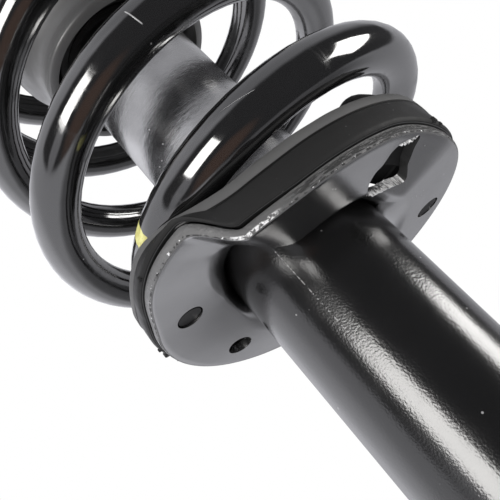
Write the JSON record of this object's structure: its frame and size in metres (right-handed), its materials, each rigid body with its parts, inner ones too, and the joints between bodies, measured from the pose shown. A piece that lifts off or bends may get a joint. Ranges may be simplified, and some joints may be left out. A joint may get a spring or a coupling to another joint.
{
  "type": "suspension strut",
  "caption": "Black spring strut: helical lower seat with rubber pad, coil spring with a drawn-in end coil, dust boot, inner damper and a swivelling top mount",
  "frame": {"origin": "on the strut axis, halfway along the length of tube that the steering knuckle clamps", "axes": "+Z along the strut towards the top mount, +Y towards the index tab at the back of the tube, +X completes the right-handed frame"},
  "size_m": [0.148, 0.148, 0.529],
  "materials": {
    "tube_paint": "satin",
    "seat_coat": "satin",
    "spring_enamel": "gloss",
    "pad_rubber": "matte",
    "boot_rubber": "satin",
    "foam_buffer": "matte",
    "cap_plastic": "matte",
    "race_plastic": "satin",
    "bright_steel": "satin",
    "sintered_steel": "matte",
    "zinc_steel": "satin",
    "rod_chrome": "gloss",
    "bronze": "satin"
  },
  "bodies": {
    "strut_body": {"reservoir_tube": "tube_paint", "base_cup": "tube_paint", "index_tab": "tube_paint", "spring_seat": "seat_coat", "lower_pad": "pad_rubber", "coil_spring": "spring_enamel", "pressure_tube": "bright_steel", "base_valve": "sintered_steel", "base_valve_spring_disc": "bright_steel", "rod_guide": "sintered_steel", "guide_bush": "bronze", "rod_seal": "pad_rubber", "striker_cap": "cap_plastic"},
    "spring_top": {"upper_seat": "seat_coat", "upper_pad": "pad_rubber", "dust_boot": "boot_rubber", "boot_clip": "cap_plastic", "bearing_lower_race": "race_plastic", "bearing_balls": "bright_steel"},
    "top_mount": {"bearing_upper_race": "race_plastic", "mount_base": "seat_coat", "mount_rubber": "pad_rubber", "mount_sleeve": "bright_steel", "mount_plate": "seat_coat", "mount_studs": "zinc_steel", "rod_washer": "zinc_steel", "rod_nut": "zinc_steel", "piston_rod": "rod_chrome", "rebound_stop": "bright_steel", "rebound_buffer": "pad_rubber", "piston": "sintered_steel", "piston_band": "cap_plastic", "piston_shims": "bright_steel", "piston_nut": "zinc_steel", "bump_stop": "foam_buffer", "bump_cup": "seat_coat"}
  },
  "joints": [
    {"name": "rod_stroke", "type": "slide", "parent": "strut_body", "child": "spring_top", "axis": [0, 0, 1], "range_m": [-0.09, 0], "stiffness_N_per_m": 28000, "springref_m": 0.04, "deforming": ["coil_spring"]},
    {"name": "mount_swivel", "type": "hinge", "parent": "spring_top", "child": "top_mount", "pos_m": [0, 0, 0.44], "axis": [0, 0, 1], "range_deg": [-45, 45]}
  ]
}
